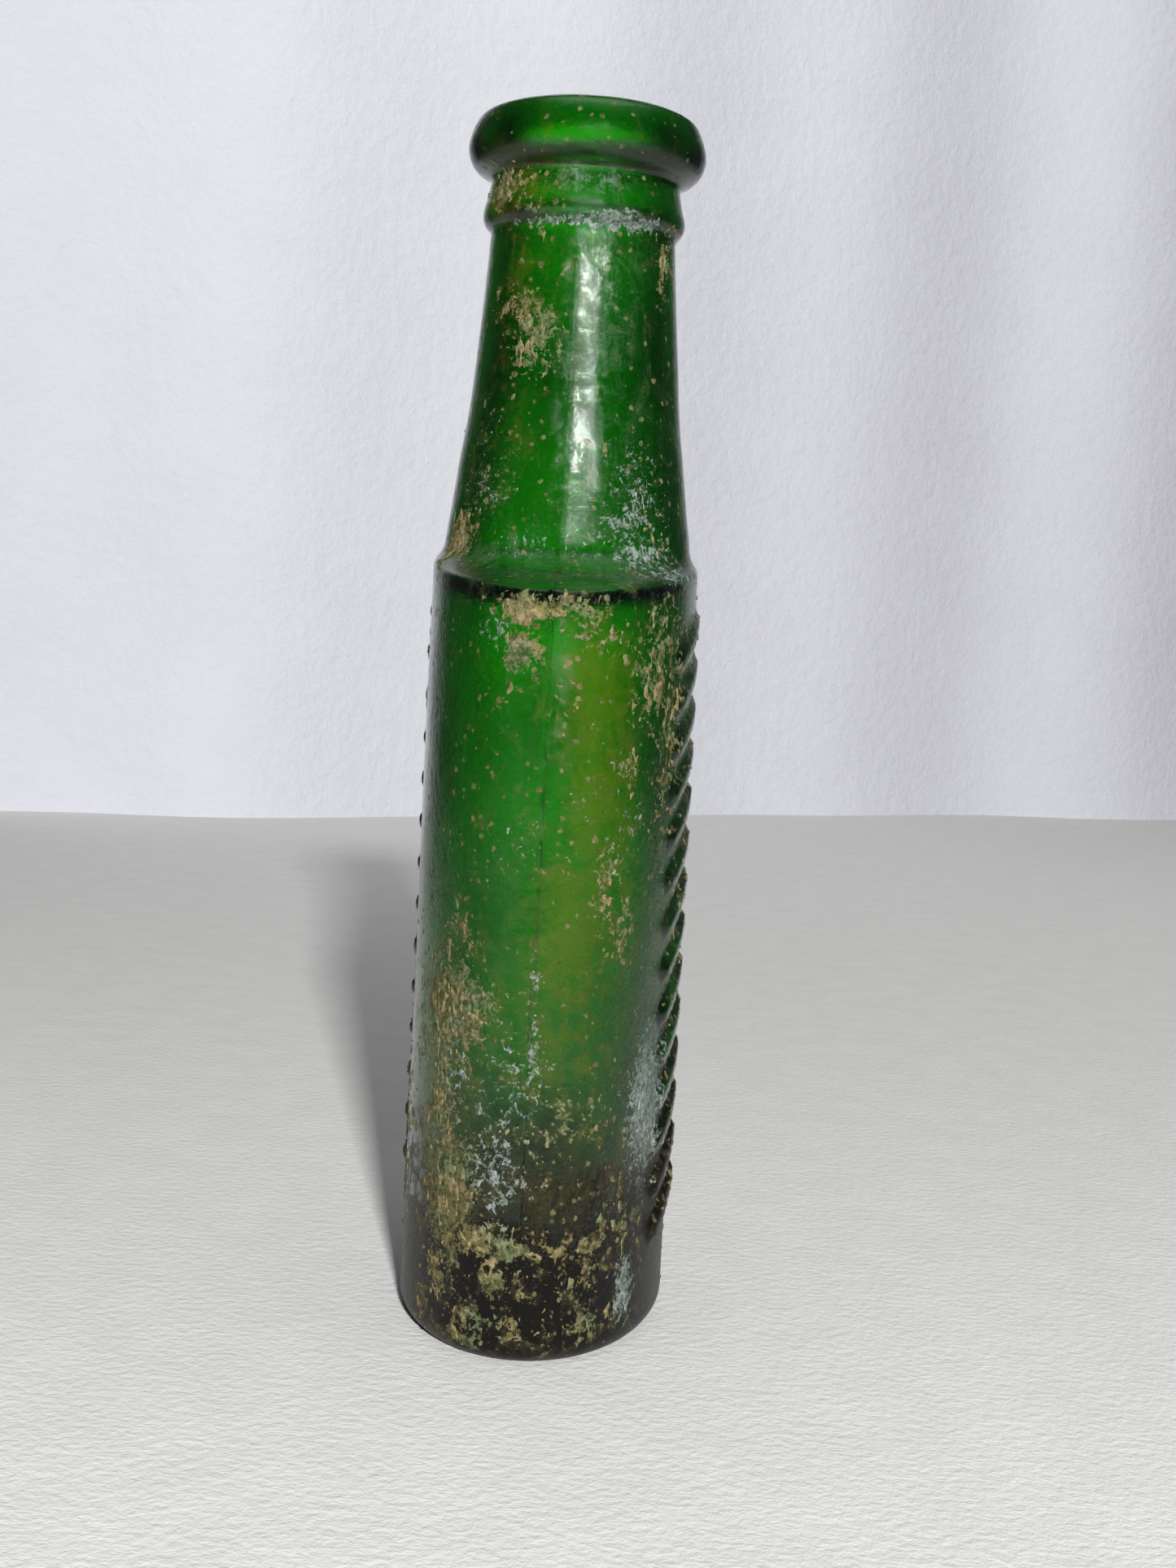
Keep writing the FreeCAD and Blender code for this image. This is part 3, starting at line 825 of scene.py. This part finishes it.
def crust_material(name, first, second, size):
    """Crumbly mineral crust: two tones in patches, each light and dark in grains."""
    material, tree = new_material(name)
    where = node(tree, "ShaderNodeTexCoord").outputs["Object"]
    patchy = scaled_noise(tree, where, size, CRUST_PATCHES)
    grain = scaled_noise(tree, where, size, CRUST_GRAINS)
    tones = [toned(tree, grain, CRUST_GRAIN_SPAN, (tuple(c * CRUST_SHADE for c in tone), tone))
             for tone in (first, second)]
    surface = principled(tree, {
        "Base Color": toned(tree, patchy, CRUST_PATCH_SPAN, tones),
        "Roughness": ramp(tree, grain, *MATT_SPAN), "Specular IOR Level": CRUST_SHINE,
        "Normal": bump_node(tree, grain, *CRUST_BUMPS)})
    node(tree, "ShaderNodeOutputMaterial", {"Surface": surface})
    return material


# The same for cloth: patches and grains at size 1, levels of noise, and strength and depth of the bumps.
CLOTH_PATCHES = (1.0, 6.0, 0.6)
CLOTH_GRAINS = (0.15, 4.0, 0.65)
CLOTH_SPAN = (0.3, 0.7)
CLOTH_BUMPS = (0.5, 0.05 * MM)


def cloth_material(name, colour, size, dark):
    """Matt cloth with uneven colour and grain."""
    material, tree = new_material(name)
    where = node(tree, "ShaderNodeTexCoord").outputs["Object"]
    patchy = scaled_noise(tree, where, size, CLOTH_PATCHES)
    grain = scaled_noise(tree, where, size, CLOTH_GRAINS)
    strength, depth = CLOTH_BUMPS
    surface = principled(tree, {
        "Base Color": toned(tree, patchy, CLOTH_SPAN, (tuple(c * dark for c in colour), colour)),
        "Roughness": ramp(tree, grain, *MATT_SPAN), "Normal": bump_node(tree, grain, strength, depth * size)})
    node(tree, "ShaderNodeOutputMaterial", {"Surface": surface})
    return material


# ---------------------------------------------------------------- the pieces

SOIL_TAN, SOIL_OLIVE = (0.23, 0.185, 0.090), (0.155, 0.175, 0.088)
LIME_GREY, LIME_GREEN = (0.24, 0.27, 0.25), (0.15, 0.20, 0.16)
SILT_DARK, SILT_BROWN = (0.030, 0.024, 0.014), (0.075, 0.055, 0.028)
COLUMNS = 288
# Crusts begin halfway up the heel, on a grid with this many times the rows and columns of the glass.
CRUST_FIRST_ROW = DOME_ROWS + BEARING_ROWS + HEEL_ROWS // 2
CRUST_FINENESS = (2, 4)
# Each crust: its place, the size and seed of its noise, how lacy and thick it is, its tones and its slot.
CRUSTS = {
    "soil_crust": {"patches": SOIL, "size": 1.0, "seed": 11, "lacy": 0.05, "thick": 0.11,
                   "tones": (SOIL_TAN, SOIL_OLIVE), "slot": "dried_soil"},
    "lime_scale": {"patches": LIME, "size": 0.8, "seed": 23, "lacy": 0.35, "thick": 0.06,
                   "tones": (LIME_GREY, LIME_GREEN), "slot": "lime_scale"},
}
# Mean height of the silt's edge, how much and how widely it swells, and the row where the wall starts,
# counted from the middle of the floor.
SILT_TOP_Z = 7.4
SILT_SWELL = 1.6
SILT_SWELL_SIZE = 9.0
WALL_FOOT_ROW = FLOOR_ROWS + TURN_ROWS + 1
# Rows of the heap's underside and top, and height, width, seed and layers of its lumps.
SILT_ROWS = 16
SILT_LUMP = 0.7
LUMP_NOISE = (5.0, 31, 4)
SILT_GRAIN = 1.5

turns = directions(COLUMNS)
outer, inner = glass_grid(turns)
outer = shape_outside(outer)
inner = shape_inside(inner)
glass = bottle_glass(outer, inner)
glass.data.materials.append(glass_material())
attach(glass, "root")
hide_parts("glass_body", "lip_ring", "collar_ring", "relief_right", "relief_left")

crust_grid = finer(outer[CRUST_FIRST_ROW:], *CRUST_FINENESS)
crust_points = crust_grid.reshape(-1, 3)
for node_name, made in CRUSTS.items():
    level = deposit_level(crust_points, made["patches"], made["size"], made["seed"], made["lacy"])
    level = level.reshape(crust_grid.shape[:2])
    crust = flakes(node_name + "_flakes", crust_grid, level, made["thick"])
    crust.data.materials.append(crust_material(node_name + "_matt", *made["tones"], 1.0))
    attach(crust, "root")
    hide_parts(node_name)


def silt_edge(line):
    """The part of one column of the inside, given from the floor's middle up, that lies under the silt."""
    top_z = SILT_TOP_Z + SILT_SWELL * noise.noise(Vector(line[WALL_FOOT_ROW]) / SILT_SWELL_SIZE)
    last = np.argmax(line[:, 2] > top_z)
    step = (top_z - line[last - 1, 2]) / (line[last, 2] - line[last - 1, 2])
    return np.vstack([line[:last], line[last - 1] + step * (line[last] - line[last - 1])])


def silt_heap(inner):
    """Dried silt on the floor inside, higher where it slid against the wall."""
    under = []
    for column in inner[::-1].transpose(1, 0, 2):
        line = silt_edge(column)
        along = np.concatenate([[0.0], np.cumsum(np.linalg.norm(np.diff(line, axis=0), axis=1))])
        at = np.linspace(0.0, along[-1], SILT_ROWS)
        under.append(np.column_stack([np.interp(at, along, line[:, k]) for k in range(3)]))
    under = np.array(under).transpose(1, 0, 2)
    crest = under[-1]
    middle = crest.mean(axis=0)
    inwards = np.linspace(0.0, 1.0, SILT_ROWS)[1:-1, None, None]
    top = crest + (middle - crest) * inwards
    lumps = rough(top.reshape(-1, 3), *LUMP_NOISE).reshape(top.shape[:2])
    top[..., 2] += SILT_LUMP * lumps * np.sqrt(np.sin(math.pi / 2 * inwards[..., 0]))
    rows = np.vstack([under[1:], top])
    ends = np.array([under[0].mean(axis=0), middle])
    points = np.vstack([rows.reshape(-1, 3), ends])
    return mesh_object("silt_heap", points, closed_faces(len(rows), rows.shape[1]))


heap = silt_heap(inner)
heap.data.materials.append(crust_material("dark_silt_matt", SILT_DARK, SILT_BROWN, SILT_GRAIN))
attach(heap, "root")
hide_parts("base_silt")

# ---------------------------------------------------------------- floor, backdrop, light and camera

FLOOR_COLOUR = (0.70, 0.70, 0.68)
FLOOR_GRAIN = 9.0
FLOOR_DARK = 0.95
DRAPE_COLOUR = (0.68, 0.68, 0.73)
DRAPE_GRAIN = 40.0
DRAPE_DARK = 0.97
STAGE_LEFT, STAGE_RIGHT = -290.0, 350.0
FLOOR_FRONT_Y, FLOOR_BACK_Y = -280.0, 1100.0
DRAPE_Y = 713.0
DRAPE_SLANT = 0.655
DRAPE_HEIGHT = 460.0
# Depth and width of the drape's folds, and of the creases between them, which come and go along it.
FOLD_DEPTH, FOLD_WIDTH = 14.0, 62.0
CREASE_DEPTH, CREASE_WIDTH = 9.0, 27.0
CREASE_SHIFT = 1.3
CREASE_GAP = 90.0
FLOOR_CELLS = (8, 8)
DRAPE_CELLS = (200, 4)


def sheet_grid(name, cells, place, material):
    """Stage surface from a grid; place turns (u, v) from 0 to 1 into a point in millimetres."""
    across, along = cells
    line = across + 1
    points = [np.array(place(i / across, j / along)) for j in range(along + 1) for i in range(line)]
    starts = [j * line + i for j in range(along) for i in range(across)]
    made = mesh_object(name, points, [(k, k + 1, k + line + 1, k + line) for k in starts])
    made.data.materials.append(material)


def between(start, end, u):
    return start + (end - start) * u


def floor_place(u, v):
    return (between(STAGE_LEFT, STAGE_RIGHT, u), between(FLOOR_FRONT_Y, FLOOR_BACK_Y, v), 0.0)


def drape_place(u, v):
    """The drape hangs at a slant behind the bottle, in soft upright folds."""
    x = between(STAGE_LEFT, STAGE_RIGHT, u)
    fold = FOLD_DEPTH * math.sin(x / FOLD_WIDTH)
    crease = CREASE_DEPTH * math.sin(x / CREASE_WIDTH + CREASE_SHIFT) * math.sin(x / CREASE_GAP)
    return (x, DRAPE_Y + x * DRAPE_SLANT + fold + crease, DRAPE_HEIGHT * v)


sheet_grid("stage_floor", FLOOR_CELLS, floor_place,
           cloth_material("floor_cloth", FLOOR_COLOUR, FLOOR_GRAIN, FLOOR_DARK))
sheet_grid("stage_drape", DRAPE_CELLS, drape_place,
           cloth_material("drape_cloth", DRAPE_COLOUR, DRAPE_GRAIN, DRAPE_DARK))

# Name, place and target in metres, width, height and watts of each light.
LIGHTS = [
    ("key_window", (0.160, -0.887, 0.379), (0.0, 0.0, 0.06), 0.05, 0.05, 18.5),
    ("window_glow", (0.175, -0.887, 0.379), (0.0, 0.0, 0.06), 0.04, 0.08, 0.17),
    ("overhead_sheet", (0.1, 0.1, 1.4), (0.1, 0.1, 0.0), 1.0, 1.0, 3.1),
    ("drape_wash", (0.30, 0.25, 0.62), (0.32, 0.90, 0.34), 0.8, 0.15, 1.5),
]
ROOM_COLOUR = (0.90, 0.93, 1.0, 1.0)
ROOM_STRENGTH = 0.05


def area_light(name, place, target, size, size_y, power):
    light = bpy.data.lights.new(name, "AREA")
    light.shape = "RECTANGLE"
    light.size = size
    light.size_y = size_y
    light.energy = power
    lamp = bpy.data.objects.new(name, light)
    lamp.location = place
    lamp.rotation_euler = (Vector(target) - Vector(place)).to_track_quat("-Z", "Y").to_euler()
    bpy.context.scene.collection.objects.link(lamp)


for row in LIGHTS:
    area_light(*row)
# The key light isn't seen in reflections; the window's glow is its weak stand-in there.
bpy.data.objects["key_window"].visible_glossy = False

world = bpy.data.worlds.new("room")
world.use_nodes = True
background = world.node_tree.nodes["Background"].inputs
background["Color"].default_value = ROOM_COLOUR
background["Strength"].default_value = ROOM_STRENGTH
bpy.context.scene.world = world
bpy.context.scene.view_settings.view_transform = "Standard"

# The camera stands in front of one narrow side, a little to its right, level with the body's shoulder.
CAMERA_DISTANCE = 240.5
CAMERA_HEIGHT = 74.8
CAMERA_PITCH = math.radians(3.69)
CAMERA_ROLL = math.radians(2.94)
CAMERA_YAW = math.radians(0.87)
CAMERA_ORBIT = math.radians(3.0)
LENS_MM = 48.57
SENSOR_MM = 36.0
NEAREST_SEEN = 0.01


def place_camera():
    data = bpy.data.cameras.new("camera")
    data.sensor_fit = "AUTO"
    data.sensor_width = SENSOR_MM
    data.lens = LENS_MM
    data.clip_start = NEAREST_SEEN
    camera = bpy.data.objects.new("camera", data)
    bpy.context.scene.collection.objects.link(camera)
    forward = Vector((math.sin(CAMERA_YAW) * math.cos(CAMERA_PITCH),
                      math.cos(CAMERA_YAW) * math.cos(CAMERA_PITCH), -math.sin(CAMERA_PITCH)))
    right = forward.cross(Vector((0.0, 0.0, 1.0))).normalized()
    up = right.cross(forward)
    tilted_right = right * math.cos(CAMERA_ROLL) + up * math.sin(CAMERA_ROLL)
    tilted_up = up * math.cos(CAMERA_ROLL) - right * math.sin(CAMERA_ROLL)
    stand = Matrix((tilted_right, tilted_up, -forward)).transposed().to_4x4()
    stand.translation = Vector((0.0, -CAMERA_DISTANCE, CAMERA_HEIGHT)) * MM
    camera.matrix_world = Matrix.Rotation(CAMERA_ORBIT, 4, "Z") @ stand
    bpy.context.scene.camera = camera


place_camera()
